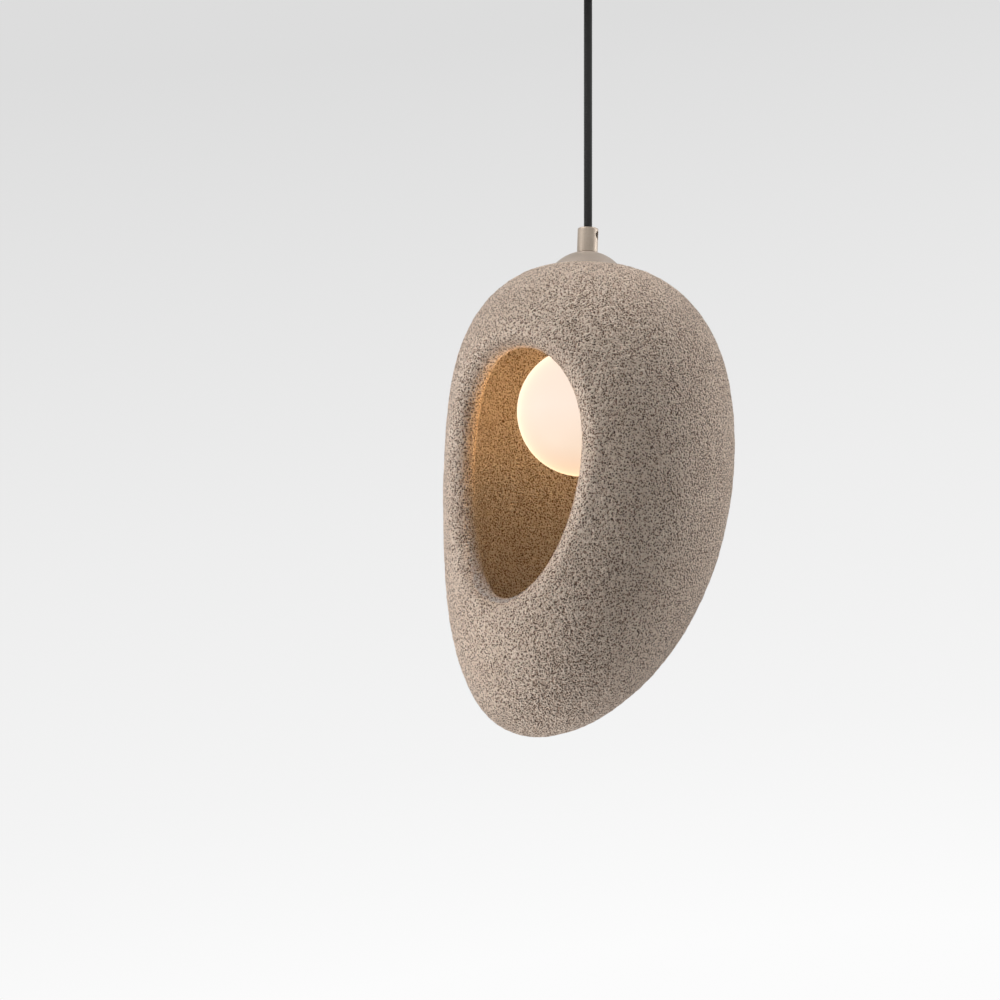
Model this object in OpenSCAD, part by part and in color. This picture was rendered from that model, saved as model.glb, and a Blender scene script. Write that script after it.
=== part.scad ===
// Pendant ceiling light: a hollow pebble-shaped shade with a scooped oval opening, an opal globe
// inside it, and a textile cord that comes down from a ceiling canopy.
// Origin: on the ceiling plane, above the middle of the cord. +Z is up and -Y is the opening's side.
// Everything below the cord is drawn upright in the lamp's own frame and then tilted by lamp_tilt,
// because the open front is lighter than the back and the lamp hangs leaning a little.

/* [Ceiling canopy] */
// Outer diameter of the canopy
canopy_d = 120; // [100:1:150]
// Height of the canopy
canopy_h = 30; // [28:1:40]
// Thickness of the spun metal wall
canopy_wall = 1.5; // [1:0.1:2]
// Radius of the rounded lower edge
canopy_edge_r = 5; // [3:0.5:8]
// Distance between the two slotted screw holes in the ceiling bracket
bracket_spacing = 80; // [76:1:84]

/* [Cord] */
// Diameter of the textile cord
cord_d = 6.4; // [5.8:0.1:6.8]
// Length of cord that shows between the canopy's bush and the cord grip
cord_free = 195.2; // [150:0.1:400]

/* [Cord grip] */
// Diameter of the turned cord grip
grip_d = 16; // [15:0.5:20]
// Length of the cord grip
grip_len = 19.1; // [18.8:0.1:24]
// Direction of the grip's set screw, turned about the cord from +X
grip_screw_angle = 20; // [0:5:90]

/* [Lamp] */
// Angle by which the lamp leans forward as it hangs
lamp_tilt = 3.2; // [0:0.1:5]
// Radius of the spherical top of the dome cap
cap_sphere_r = 34; // [32:0.5:36]
// Radius of the dome cap's rim
cap_r = 26.7; // [26:0.1:27.5]
// Diameter of the opal globe
globe_d = 100; // [90:1:104]
// Depth of the globe's centre below the canopy's ceiling plane
globe_depth = 375.7; // [372:0.1:380]

/* [Shade] */
// Height of the shade
shade_h = 362.3; // [340:0.1:380]
// Half width of the shade's guide body, from the bottom to the top
shade_half_w = [108, 111.5, 102, 154.5];
// Offset of the shade's middle from the lamp's axis, from the bottom to the top
shade_shift = [-45, 23, 13.5, 0];
// Depth of the shade as a part of its width
shade_depth_ratio = 0.94; // [0.85:0.01:1]
// Thickness of the shade's wall at the sides and top
shade_wall = 9; // [8:0.5:11]
// Thickness of the wall at the back, which balances the open front
shade_back_wall = 18; // [9:0.5:20]
// Thickness of the rounded rim of the opening
shade_rim = 22; // [16:0.5:26]

/* [Opening] */
// Height of the opening's axis above level, as a guide angle
opening_axis = 8; // [0:0.5:12]
// Guide angle from the axis to the side of the opening
opening_side = 38; // [34:0.5:42]
// Guide angle from the axis to the top of the opening
opening_top = 33; // [30:0.5:36]
// Guide angle from the axis to the bottom of the opening
opening_bottom = 38; // [34:0.5:42]

/* [Hidden] */

$fn = 72;
eps = 0.01;              // how far a cut runs past the face it opens

// Colours
steel_grey = [0.62, 0.62, 0.62];
warm_metal = [0.66, 0.60, 0.54];
grained_beige = [0.62, 0.55, 0.49];
cord_black = [0.06, 0.06, 0.06];
brass_yellow = [0.75, 0.60, 0.32];
opal_white = [0.98, 0.95, 0.90];
block_white = [0.88, 0.87, 0.83];
live_brown = [0.40, 0.22, 0.12];
neutral_blue = [0.15, 0.30, 0.65];
earth_green = [0.35, 0.60, 0.15];

// Screw sizes: radius of the shank, of the tapped hole and of the plain hole
m3_r = 1.45;
m3_hole = 1.5;
m3_clear = 1.6;
m4_r = 1.95;
m4_hole = 2;
m4_clear = 2.2;
m5_r = 2.45;
m5_hole = 2.5;
// Driver slot across a screw's head
driver_w = 0.8;
driver_depth = 0.7;
// M10 x 1 lighting tube: radius of the tube, of the tapped holes on it and of the plain holes
m10_r = 4.95;
m10_hole = 5;
m10_clear = 5.2;
m10_bore = 3.5;
m10_nut_flats = 14;

// Ceiling bracket
strap_t = 2;
strap_w = 20;
ear_x = canopy_d / 2 - 4;        // outer face of the ear
ear_h = 16;
slot_w = 5;
slot_l = 14;
supply_hole_r = 6;
side_screw_z = -10;              // height of the canopy's side screws
side_head_r = 3.8;
side_head_h = 2.4;
side_screw_inset = 1;            // how far the side screws come through the ears

// Cord bush in the bottom of the canopy
bush_r = 9;
bush_flange_h = 8;
bush_mouth_z = -canopy_h - bush_flange_h;
bush_neck_r = 4.95;
bush_neck_h = 14;
bush_throat_r = 3.6;
bush_mouth_r = 6.3;
bush_nut_h = 4;
bush_screw_z = -canopy_h + 10;
bush_screw_l = 5;
swing_pivot_z = bush_mouth_z + 5;      // where the cord starts to bend

// Cord
cord_r = cord_d / 2;
grip_top_z = bush_mouth_z - cord_free;
grip_pivot_z = grip_top_z - 1.5;       // where the cord bends in the grip's mouth
cord_end_gap = 1.5;                    // room for the cord's end to tip in each mouth
cord_points = [[0, 0, swing_pivot_z], [0, 0, grip_pivot_z]];
cord_ring_step = 16;

// Terminal block
block_l = 16;
block_w = 20;
block_h = 12;
block_x = -22;                   // middle of the block
block_z = -strap_t - block_h;    // underside of the block
way_y = 5;                       // offset of each way from the middle
way_r = 1.7;
way_z = -8;
block_head_r = 2.7;              // head of the screw that holds the block
block_head_h = 1.9;
block_seat_r = 2.9;              // counterbore that hides that head
block_seat_h = 3;
terminal_sink = 0.4;             // how deep the terminal screws sit in the block

// Earth screw, its washer and the lead's ring tag, downwards from the bracket
earth_x = -block_x;
earth_screw_l = 8;
earth_head_r = 3.6;
earth_head_h = 2.4;
earth_washer_r = 4.4;
earth_washer_z = -3.8;
earth_washer_t = 0.8;
earth_tag_r = 4;
earth_tag_w = 4;
earth_tag_x = 13;                // inner end of the tag's tab

// Leads in the canopy, from the cord's end to the block and to the earth tag
lead_r = 1.1;
tail_top_z = -18;
live_route = [[-1.2, -1.2, -18], [-1.2, -1.2, -17], [-1.2, -1.2, -16], [-2.2, -2, -13], [-7, -4, -9],
  [-13, -5, -8], [-18, -5, -8]];
neutral_route = [for (p = live_route) [p.x, -p.y, p.z]];
earth_route = [[1.6, 0, -18], [1.6, 0, -17], [1.6, 0, -16], [3.2, 0, -13], [8, 0, -8], [12, 0, -5],
  [16, 0, -4]];

// Cord grip
grip_r = grip_d / 2;
grip_bottom_z = grip_top_z - grip_len;
grip_edge_r = 1;
grip_foot_r = 0.5;
grip_mouth_r = 4;
grip_throat_r = 3.6;
grip_bore_r = 3.4;
grip_shoulder_z = grip_bottom_z + 9.3;
grip_screw_z = grip_top_z - 5.6;
grip_sink_r = 3.2;                     // countersink round the set screw
grip_sink_depth = 1;
grip_screw_l = 3.4;
grip_key_r = 1.45;                     // corners of the set screw's hexagon socket
grip_key_depth = 2;

// Dome cap: part of a sphere that stands on the shade's flat seat
cap_seat_z = grip_bottom_z - 12;
cap_centre_z = cap_seat_z - sqrt(cap_sphere_r * cap_sphere_r - cap_r * cap_r);
cap_top_z = grip_bottom_z - 0.3;
cap_wall = 1.8;
cap_pad_z = grip_bottom_z - 3.3;       // flat underside of the cap's thick middle
washer_t = 1.5;
washer_r = 16;
spacer_r = 8;

// Shade
shade_top_z = grip_bottom_z - 7.4;     // top of the guide body, before it is flattened
shade_bottom_z = shade_top_z - shade_h;
seat_r = cap_r + 0.2;
boss_r = 22;
boss_z = shade_top_z - 11.7;           // flat underside of the boss inside the shade
boss_h = 8;
shade_cut = 10;                        // height of the cuts above the seat
seat_dip = 3.7;                        // how far the skin is flattened around the cap
seat_dip_power = 100;                  // how quickly the flattening fades away from the cap
rim_blend_top = 30;                    // guide angle over which the rim thins to the wall
rim_blend_bottom = 90;                 // the same below the opening
outer_rings = 26;
rim_rings = 8;
inner_rings = 22;
meridians = 64;

// Lampholder stack, downwards from the shade's boss
plate_t = 2;
plate_r = 20;
nut_h = 4;
clamp_nut_z = boss_z - plate_t - nut_h;
cup_top_z = clamp_nut_z;
cup_wall = 1.6;
cup_r = 23;
cup_h = 49.7;
cup_bottom_z = cup_top_z - cup_h;
tag_t = 0.8;
tag_r = 8.5;
tag_tab_w = 5;
tag_tab_end = 16;                // end of the tag's tab
tag_z = cup_top_z - cup_wall - tag_t;
holder_nut_z = tag_z - nut_h;
tube_top_z = grip_shoulder_z - 0.5;
tube_bottom_z = holder_nut_z - 4.2;
bridge_t = 1.5;
bridge_half = 12;
bridge_w = 12;
bridge_top_z = holder_nut_z - 1;
bridge_h = 17;

// Ceramic G9 socket
socket_l = 21;
socket_w = 14;
socket_h = 22;
socket_top_z = tube_bottom_z - 6;
socket_bottom_z = socket_top_z - socket_h;
recess_l = 15.6;
recess_w = 8.6;
recess_h = 6;
pin_x = 4.5;
pin_slot_l = 3;
pin_slot_w = 4.6;
pin_slot_h = 12;
socket_lead_r = 1.3;
socket_lead_h = 3;
leg_screw_z = socket_top_z - 4;
leg_head_r = 2.6;
leg_head_h = 1.6;
leg_screw_l = 4;
leg_screw_x = socket_l / 2 - 2.5;
contact_t = 0.4;
contact_w = 4;
contact_h = 9;

// Leads in the lamp
lead_start_z = tube_top_z - 0.2;
pair_x = 1.4;                    // offset of the live and neutral leads inside the tube
earth_y = 2;                     // offset of the earth lead inside the tube

// Globe and the ring that it screws into
globe_r = globe_d / 2;
glass_t = 3;
globe_z = -globe_depth;
neck_r = 20;
neck_bore_r = 17;
neck_top_z = globe_z + globe_r + 12;
neck_root_z = globe_z + globe_r - 10;  // the neck starts inside the sphere
neck_bore_z = neck_root_z - 10;
ring_bore_r = neck_r + 0.08;
ring_h = 14;
ring_bottom_z = cup_bottom_z + 0.5;
ring_screw_z = ring_bottom_z + 11.5;
ring_head_r = 2.4;
ring_head_h = 1.2;
ring_screw_x = ring_bore_r + 0.3;      // inner end of the ring's screws
ring_turns = [30, 150, 270];

// G9 bulb
bulb_base_l = 15;
bulb_base_w = 8;
bulb_base_top_z = socket_bottom_z + recess_h - 0.4;
bulb_base_h = 12;
bulb_r = 8;
bulb_len = 44;
bulb_wall = 0.9;
bulb_bottom_z = bulb_base_top_z - bulb_base_h;
pin_r = 0.6;
pin_gap = 2;                     // between the two legs of each looped pin
pin_h = 10;
bulb_plug_h = 1.5;               // round part of the base inside the envelope
board_w = 10;
board_t = 1.6;
board_l = bulb_len - bulb_r - 4;

// --- Shade geometry -------------------------------------------------------------------------
// A guide direction d on the unit sphere is carried to the shade's outer skin by shade_point().
// theta is the angle from the opening's axis and v the angle round it, zero at the top.

// Cubic curve through four control values
function bezier(c, t) =
  c[0] * pow(1 - t, 3) + 3 * c[1] * t * pow(1 - t, 2) + 3 * c[2] * t * t * (1 - t) + c[3] * pow(t, 3);

function unit(a) = a / norm(a);

function smooth(x) = x <= 0 ? 0 : x >= 1 ? 1 : x * x * (3 - 2 * x);

function shade_point(d) =
  let (t = (d.z + 1) / 2, w = bezier(shade_half_w, t))
  [w * d.x, bezier(shade_shift, t) + shade_depth_ratio * w * d.y, shade_bottom_z + shade_h * t];

opening_dir = [0, -cos(opening_axis), sin(opening_axis)];
opening_up = [0, sin(opening_axis), cos(opening_axis)];

function outer_point(theta, v) =
  shade_point(cos(theta) * opening_dir + sin(theta) * (sin(v) * [1, 0, 0] + cos(v) * opening_up));

// The outer skin, flattened around the cap
function skin_point(theta, v) =
  let (p = outer_point(theta, v), t = (p.z - shade_bottom_z) / shade_h)
  p - [0, 0, seat_dip * pow(t, seat_dip_power)];

// Direction along the skin towards the opening, and the outward normal
function towards_opening(theta, v) = unit(outer_point(theta - 0.1, v) - outer_point(theta + 0.1, v));

function outward(theta, v) =
  unit(cross(towards_opening(theta, v), outer_point(theta, v + 0.1) - outer_point(theta, v - 0.1)));

// Guide angle at which the rim starts, an oval with a longer lower half
function rim_angle(v) =
  1 / norm([sin(v) / opening_side, cos(v) / (cos(v) >= 0 ? opening_top : opening_bottom)]);

// Guide angle over which the rim thins to the wall, growing from the top to the bottom
function rim_blend(v) = rim_blend_top + (rim_blend_bottom - rim_blend_top) * (1 - cos(v)) / 2;

// Wall thickness: thick at the rim, thin at the sides, thicker again at the back
function wall_at(theta, v) =
  shade_wall
  + (shade_rim - shade_wall) * smooth(1 - (theta - rim_angle(v)) / rim_blend(v))
  + (shade_back_wall - shade_wall) * smooth((theta - 90) / 90);

function inner_point(theta, v) = outer_point(theta, v) - outward(theta, v) * wall_at(theta, v);

// Point on the half-round rim, a running from 0 outside to 180 inside
function rim_point(a, v) =
  let (theta = rim_angle(v), n = outward(theta, v), r = shade_rim / 2)
  outer_point(theta, v) - n * r + r * (n * cos(a) + towards_opening(theta, v) * sin(a));

function ring_theta(i, rings, v) = 180 - (180 - rim_angle(v)) * i / rings;

shade_points = concat(
  [skin_point(180, 0)],
  [for (i = [1:outer_rings]) for (j = [0:meridians - 1])
    let (v = 360 * j / meridians) skin_point(ring_theta(i, outer_rings, v), v)],
  [for (i = [1:rim_rings]) for (j = [0:meridians - 1])
    rim_point(180 * i / rim_rings, 360 * j / meridians)],
  [for (i = [inner_rings - 1:-1:1]) for (j = [0:meridians - 1])
    let (v = 360 * j / meridians) inner_point(ring_theta(i, inner_rings, v), v)],
  [inner_point(179.8, 0)]
);
shade_rings = outer_rings + rim_rings + inner_rings - 1;

// Index of a point of the closed skin, and its triangles
function skin_index(i, j) = 1 + i * meridians + j % meridians;

shade_faces = concat(
  [for (j = [0:meridians - 1]) [0, skin_index(0, j + 1), skin_index(0, j)]],
  [for (i = [0:shade_rings - 2]) for (j = [0:meridians - 1]) for (half = [0, 1])
    half == 0
      ? [skin_index(i, j), skin_index(i, j + 1), skin_index(i + 1, j + 1)]
      : [skin_index(i, j), skin_index(i + 1, j + 1), skin_index(i + 1, j)]],
  [for (j = [0:meridians - 1])
    [len(shade_points) - 1, skin_index(shade_rings - 1, j), skin_index(shade_rings - 1, j + 1)]]
);

// --- Swept leads ----------------------------------------------------------------------------
// Catmull-Rom curve through a lead's points, then a tube with a fixed number of sides
function curve_point(p, i, t) =
  let (a = p[max(i - 1, 0)], b = p[i], c = p[i + 1], d = p[min(i + 2, len(p) - 1)])
  0.5 * (2 * b + (c - a) * t + (2 * a - 5 * b + 4 * c - d) * t * t
    + (3 * b - a - 3 * c + d) * t * t * t);

function curve(p, steps) = concat(
  [for (i = [0:len(p) - 2]) for (s = [0:steps - 1]) curve_point(p, i, s / steps)],
  [p[len(p) - 1]]
);

// Sides of the tube stay parallel to one fixed direction that no lead runs along
function side_dir(path, i, ref) =
  let (a = path[max(i - 1, 0)], b = path[min(i + 1, len(path) - 1)], along = unit(b - a),
    s = unit(cross(along, ref)))
  [s, cross(along, s)];

module tube(path, r, sides, ref) {
  points = [for (i = [0:len(path) - 1]) for (k = [0:sides - 1])
    let (s = side_dir(path, i, ref), a = 360 * k / sides)
    path[i] + r * (cos(a) * s[0] + sin(a) * s[1])];
  rings = len(path);
  faces = concat(
    [for (i = [0:rings - 2]) for (k = [0:sides - 1])
      [i * sides + k, i * sides + (k + 1) % sides, (i + 1) * sides + (k + 1) % sides,
       (i + 1) * sides + k]],
    [[for (k = [sides - 1:-1:0]) k]],
    [[for (k = [0:sides - 1]) (rings - 1) * sides + k]]
  );
  polyhedron(points, faces, convexity = 4);
}

module lead(points, ref = [0, 1, 0]) {
  tube(curve(points, 3), lead_r, 8, ref);
}

// --- Shared pieces --------------------------------------------------------------------------
// Everything that hangs below the cord is tilted about the bend in the grip's mouth
module hanging() {
  translate([0, 0, grip_pivot_z])
    rotate([-lamp_tilt, 0, 0])
      translate([0, 0, -grip_pivot_z])
        children();
}

// A ring or disc from z to z + h
module ring(r, hole_r, z, h) {
  translate([0, 0, z])
    difference() {
      cylinder(r = r, h = h);
      translate([0, 0, -eps]) cylinder(r = hole_r, h = h + 2 * eps);
    }
}

module disc(r, z, h) {
  translate([0, 0, z]) cylinder(r = r, h = h);
}

module hex_nut(flats, hole_r, z, h) {
  translate([0, 0, z])
    difference() {
      cylinder(r = flats / sqrt(3), h = h, $fn = 6);
      translate([0, 0, -eps]) cylinder(r = hole_r, h = h + 2 * eps);
    }
}

// A rod or hole along +X that starts at x
module rod_x(r, x, l, z) {
  translate([x, 0, z]) rotate([0, 90, 0]) cylinder(r = r, h = l);
}

module block(size, centre) {
  translate(centre) cube(size, center = true);
}

// Driver slot across the head of a screw that points along X or Z and ends at x or z
module driver_slot_x(head_r, x, z) {
  block([2 * driver_depth, 2 * head_r + 1, driver_w], [x, 0, z]);
}

module driver_slot_z(head_r, z) {
  block([driver_w, 2 * head_r + 1, 2 * driver_depth], [0, 0, z]);
}

// --- Ceiling fitting ------------------------------------------------------------------------
module slot(x) {
  run = (slot_l - slot_w) / 2;
  for (side = [-1, 1])
    translate([x + side * run, 0, -strap_t - eps]) cylinder(r = slot_w / 2, h = strap_t + 2 * eps);
  block([2 * run, slot_w, strap_t + 2 * eps], [x, 0, -strap_t / 2]);
}

module ceiling_bracket() {
  color(steel_grey)
    difference() {
      union() {
        block([2 * ear_x, strap_w, strap_t], [0, 0, -strap_t / 2]);
        for (side = [-1, 1])
          block([strap_t, strap_w, ear_h], [side * (ear_x - strap_t / 2), 0, -ear_h / 2]);
      }
      for (side = [-1, 1]) {
        slot(side * bracket_spacing / 2);
        rod_x(m4_hole, side > 0 ? ear_x - 2 * strap_t : -ear_x - strap_t, 3 * strap_t, side_screw_z);
      }
      disc(supply_hole_r, -strap_t - eps, strap_t + 2 * eps);
      translate([block_x, 0, -strap_t - eps]) cylinder(r = m3_hole, h = strap_t + 2 * eps);
      translate([earth_x, 0, -strap_t - eps]) cylinder(r = m4_hole, h = strap_t + 2 * eps);
    }
}

module canopy_profile(r, h, edge) {
  translate([0, -h + edge]) square([r, h - edge]);
  translate([0, -h]) square([r - edge, edge]);
  translate([r - edge, -h + edge]) circle(r = edge);
}

module canopy() {
  color(warm_metal)
    difference() {
      rotate_extrude()
        difference() {
          canopy_profile(canopy_d / 2, canopy_h, canopy_edge_r);
          translate([0, eps])
            canopy_profile(canopy_d / 2 - canopy_wall, canopy_h - canopy_wall + eps,
              canopy_edge_r - canopy_wall);
          translate([-canopy_edge_r, -canopy_h - eps]) square([canopy_edge_r, canopy_h + 2 * eps]);
        }
      disc(m10_clear, -canopy_h - eps, canopy_wall + 2 * eps);
      rod_x(m4_clear, -canopy_d / 2 - eps, canopy_d + 2 * eps, side_screw_z);
    }
}

module canopy_screws() {
  start = ear_x - strap_t - side_screw_inset;
  color(warm_metal)
    for (turn = [0, 180])
      rotate([0, 0, turn])
        difference() {
          union() {
            rod_x(m4_r, start, canopy_d / 2 - start + side_head_h / 2, side_screw_z);
            rod_x(side_head_r, canopy_d / 2, side_head_h, side_screw_z);
          }
          driver_slot_x(side_head_r, canopy_d / 2 + side_head_h, side_screw_z);
        }
}

module cord_bush() {
  color(warm_metal)
    difference() {
      union() {
        disc(bush_r, bush_mouth_z, bush_flange_h);
        disc(bush_neck_r, -canopy_h - eps, bush_neck_h);
      }
      disc(bush_throat_r, bush_mouth_z - eps, bush_flange_h + bush_neck_h + 1);
      translate([0, 0, bush_mouth_z - eps])
        cylinder(r1 = bush_mouth_r, r2 = bush_throat_r, h = swing_pivot_z - bush_mouth_z);
      rod_x(m3_hole, 0, bush_neck_r + 1, bush_screw_z);
    }
}

module bush_nut() {
  color(steel_grey)
    hex_nut(m10_nut_flats, m10_hole, -canopy_h + canopy_wall, bush_nut_h);
}

module bush_screw() {
  color(block_white)
    difference() {
      rod_x(m3_r, cord_r, bush_screw_l, bush_screw_z);
      driver_slot_x(m3_r, cord_r + bush_screw_l, bush_screw_z);
    }
}

// The stripped end of the cord, held by the bush screw
module cord_tail() {
  color(cord_black)
    disc(cord_r, swing_pivot_z + cord_end_gap, tail_top_z - swing_pivot_z - cord_end_gap);
}

module canopy_lead_live() {
  color(live_brown)
    lead(live_route);
}

module canopy_lead_neutral() {
  color(neutral_blue)
    lead(neutral_route);
}

module canopy_lead_earth() {
  color(earth_green)
    lead(earth_route);
}

module terminal_block() {
  color(block_white)
    difference() {
      block([block_l, block_w, block_h], [block_x, 0, block_z + block_h / 2]);
      for (side = [-1, 1]) {
        translate([0, side * way_y, 0]) rod_x(way_r, block_x - block_l, 2 * block_l, way_z);
        for (end = [-1, 1])
          translate([block_x + end * block_l / 4, side * way_y, block_z - eps])
            cylinder(r = m3_hole, h = way_z - block_z);
      }
      translate([block_x, 0, block_z - eps]) cylinder(r = m3_clear, h = block_h + 2 * eps);
      translate([block_x, 0, block_z - eps]) cylinder(r = block_seat_r, h = block_seat_h);
    }
}

module terminal_screws() {
  color(brass_yellow)
    for (side = [-1, 1]) for (end = [-1, 1])
      translate([block_x + end * block_l / 4, side * way_y, 0])
        difference() {
          disc(m3_r, block_z + terminal_sink, way_z - lead_r - block_z - terminal_sink - 0.1);
          driver_slot_z(m3_r, block_z + terminal_sink);
        }
}

module block_screw() {
  color(steel_grey)
    translate([block_x, 0, 0])
      difference() {
        union() {
          disc(m3_r, block_z + 1, block_h + strap_t - 1.5);
          disc(block_head_r, block_z + 1, block_head_h);
        }
        driver_slot_z(block_head_r, block_z + 1);
      }
}

// Earth screw, its washer and the ring tag that the earth lead is crimped to
module earth_screw() {
  color(brass_yellow)
    translate([earth_x, 0, 0]) {
      difference() {
        union() {
          disc(m4_r, -earth_screw_l, earth_screw_l);
          disc(earth_head_r, -earth_screw_l, earth_head_h);
        }
        driver_slot_z(earth_head_r, -earth_screw_l);
      }
      ring(earth_washer_r, m4_r, earth_washer_z, earth_washer_t);
      ring(earth_tag_r, m4_r, -strap_t - tag_t, tag_t);
      tab = earth_x - earth_tag_r - earth_tag_x + 1;
      block([tab, earth_tag_w, tag_t], [earth_tag_x + tab / 2 - earth_x, 0, -strap_t - tag_t / 2]);
    }
}

// --- Cord -----------------------------------------------------------------------------------
module cord() {
  steps = ceil((swing_pivot_z - grip_pivot_z) / cord_ring_step);
  color(cord_black)
    tube([for (i = [0:steps]) cord_points[0] + (cord_points[1] - cord_points[0]) * i / steps],
      cord_r, 12, [0, 1, 0]);
}

// --- Cord grip ------------------------------------------------------------------------------
module grip_outline() {
  translate([0, grip_bottom_z + grip_foot_r]) square([grip_r, grip_len - grip_edge_r - grip_foot_r]);
  translate([0, grip_bottom_z]) square([grip_r - grip_edge_r, grip_len]);
  translate([grip_r - grip_edge_r, grip_top_z - grip_edge_r]) circle(r = grip_edge_r);
  translate([0, grip_bottom_z]) square([grip_r - grip_foot_r, grip_edge_r]);
  translate([grip_r - grip_foot_r, grip_bottom_z + grip_foot_r]) circle(r = grip_foot_r);
}

module grip_bores() {
  disc(m10_hole, grip_bottom_z - eps, grip_shoulder_z - grip_bottom_z + eps);
  disc(grip_bore_r, grip_shoulder_z - eps, grip_pivot_z - grip_shoulder_z);
  disc(grip_throat_r, grip_pivot_z - cord_end_gap, cord_end_gap + 1);
  translate([0, 0, grip_pivot_z])
    cylinder(r1 = grip_throat_r, r2 = grip_mouth_r, h = grip_top_z - grip_pivot_z + eps);
  rotate([0, 0, grip_screw_angle]) {
    rod_x(m5_hole, 0, grip_r + 1, grip_screw_z);
    rod_x(grip_sink_r, grip_r - grip_sink_depth, 2 * grip_sink_depth, grip_screw_z);
  }
}

module cord_grip() {
  color(warm_metal)
    hanging()
      difference() {
        rotate_extrude() grip_outline();
        grip_bores();
      }
}

module grip_screw() {
  color(steel_grey)
    hanging()
      rotate([0, 0, grip_screw_angle])
        difference() {
          rod_x(m5_r, cord_r, grip_screw_l, grip_screw_z);
          translate([cord_r + grip_screw_l - grip_key_depth, 0, grip_screw_z])
            rotate([0, 90, 0]) cylinder(r = grip_key_r, h = grip_key_depth + 1, $fn = 6);
        }
}

// The end of the cord, clamped by the set screw
module cord_stub() {
  color(cord_black)
    hanging()
      disc(cord_r, grip_shoulder_z, grip_pivot_z - cord_end_gap - grip_shoulder_z);
}

// --- Top of the lamp ------------------------------------------------------------------------
module threaded_tube() {
  color(brass_yellow)
    hanging()
      ring(m10_r, m10_bore, tube_bottom_z, tube_top_z - tube_bottom_z);
}

module dome_cap() {
  color(warm_metal)
    hanging()
      difference() {
        intersection() {
          translate([0, 0, cap_centre_z]) sphere(r = cap_sphere_r, $fn = 120);
          disc(cap_r + 5, cap_seat_z, cap_top_z - cap_seat_z);
        }
        intersection() {
          translate([0, 0, cap_centre_z]) sphere(r = cap_sphere_r - cap_wall, $fn = 120);
          disc(cap_r + 5, cap_seat_z - 1, cap_pad_z - cap_seat_z + 1);
        }
        disc(m10_clear, cap_seat_z, cap_top_z - cap_seat_z + 1);
      }
}

module cap_spacer() {
  color(brass_yellow)
    hanging()
      ring(spacer_r, m10_clear, cap_seat_z + washer_t, cap_pad_z - cap_seat_z - washer_t);
}

module cap_washer() {
  color(cord_black)
    hanging()
      ring(washer_r, m10_clear, cap_seat_z, washer_t);
}

// --- Shade ----------------------------------------------------------------------------------
module shade() {
  color(grained_beige)
    hanging()
      difference() {
        union() {
          polyhedron(shade_points, shade_faces, convexity = 6);
          disc(boss_r, boss_z, boss_h);
        }
        disc(seat_r, cap_seat_z, shade_cut);
        disc(m10_clear, boss_z - 1, cap_seat_z - boss_z + shade_cut);
      }
}

module clamp_plate() {
  color(steel_grey)
    hanging()
      ring(plate_r, m10_clear, boss_z - plate_t, plate_t);
}

module clamp_nut() {
  color(brass_yellow)
    hanging()
      hex_nut(m10_nut_flats, m10_hole, clamp_nut_z, nut_h);
}

// --- Lampholder -----------------------------------------------------------------------------
module holder_cup() {
  color(warm_metal)
    hanging()
      difference() {
        disc(cup_r, cup_bottom_z, cup_h);
        disc(cup_r - cup_wall, cup_bottom_z - eps, cup_h - cup_wall + eps);
        disc(m10_clear, cup_top_z - cup_wall - 1, cup_wall + 2);
        for (turn = ring_turns)
          rotate([0, 0, turn]) rod_x(m3_clear, neck_r, cup_r, ring_screw_z);
      }
}

module holder_nut() {
  color(brass_yellow)
    hanging()
      hex_nut(m10_nut_flats, m10_hole, holder_nut_z, nut_h);
}

// Washer with a tab for the earth lead
module earth_tag() {
  color(brass_yellow)
    hanging()
      difference() {
        union() {
          disc(tag_r, tag_z, tag_t);
          block([tag_tab_w, tag_tab_end - tag_r + 1, tag_t],
            [0, (tag_tab_end + tag_r - 1) / 2, tag_z + tag_t / 2]);
        }
        disc(m10_clear, tag_z - 1, tag_t + 2);
      }
}

module socket_bridge() {
  color(steel_grey)
    hanging()
      difference() {
        union() {
          block([2 * bridge_half, bridge_w, bridge_t], [0, 0, bridge_top_z - bridge_t / 2]);
          for (side = [-1, 1])
            block([bridge_t, bridge_w, bridge_h],
              [side * (bridge_half - bridge_t / 2), 0, bridge_top_z - bridge_h / 2]);
        }
        disc(m10_hole, bridge_top_z - bridge_t - 1, bridge_t + 2);
        rod_x(m3_clear, -bridge_half - 1, 2 * bridge_half + 2, leg_screw_z);
      }
}

module socket_body() {
  color(block_white)
    hanging()
      difference() {
        block([socket_l, socket_w, socket_h], [0, 0, socket_top_z - socket_h / 2]);
        block([recess_l, recess_w, 2 * recess_h], [0, 0, socket_bottom_z]);
        for (side = [-1, 1]) {
          block([pin_slot_l, pin_slot_w, pin_slot_h],
            [side * pin_x, 0, socket_bottom_z + recess_h + pin_slot_h / 2 - 0.5]);
          translate([side * pin_x, 0, socket_top_z - socket_lead_h])
            cylinder(r = socket_lead_r, h = socket_lead_h + 1);
          rod_x(m3_hole, side > 0 ? socket_l / 2 - 3 : -socket_l / 2 - 1, 4, leg_screw_z);
        }
      }
}

// Spring contacts on the outer wall of each pin slot
module socket_contacts() {
  color(brass_yellow)
    hanging()
      for (side = [-1, 1])
        block([contact_t, contact_w, contact_h],
          [side * (pin_x + pin_slot_l / 2 - contact_t / 2), 0, socket_bottom_z + recess_h + 6]);
}

module socket_screws() {
  color(steel_grey)
    hanging()
      for (turn = [0, 180])
        rotate([0, 0, turn])
          difference() {
            union() {
              rod_x(m3_r, leg_screw_x, leg_screw_l, leg_screw_z);
              rod_x(leg_head_r, bridge_half, leg_head_h, leg_screw_z);
            }
            driver_slot_x(leg_head_r, bridge_half + leg_head_h, leg_screw_z);
          }
}

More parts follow.
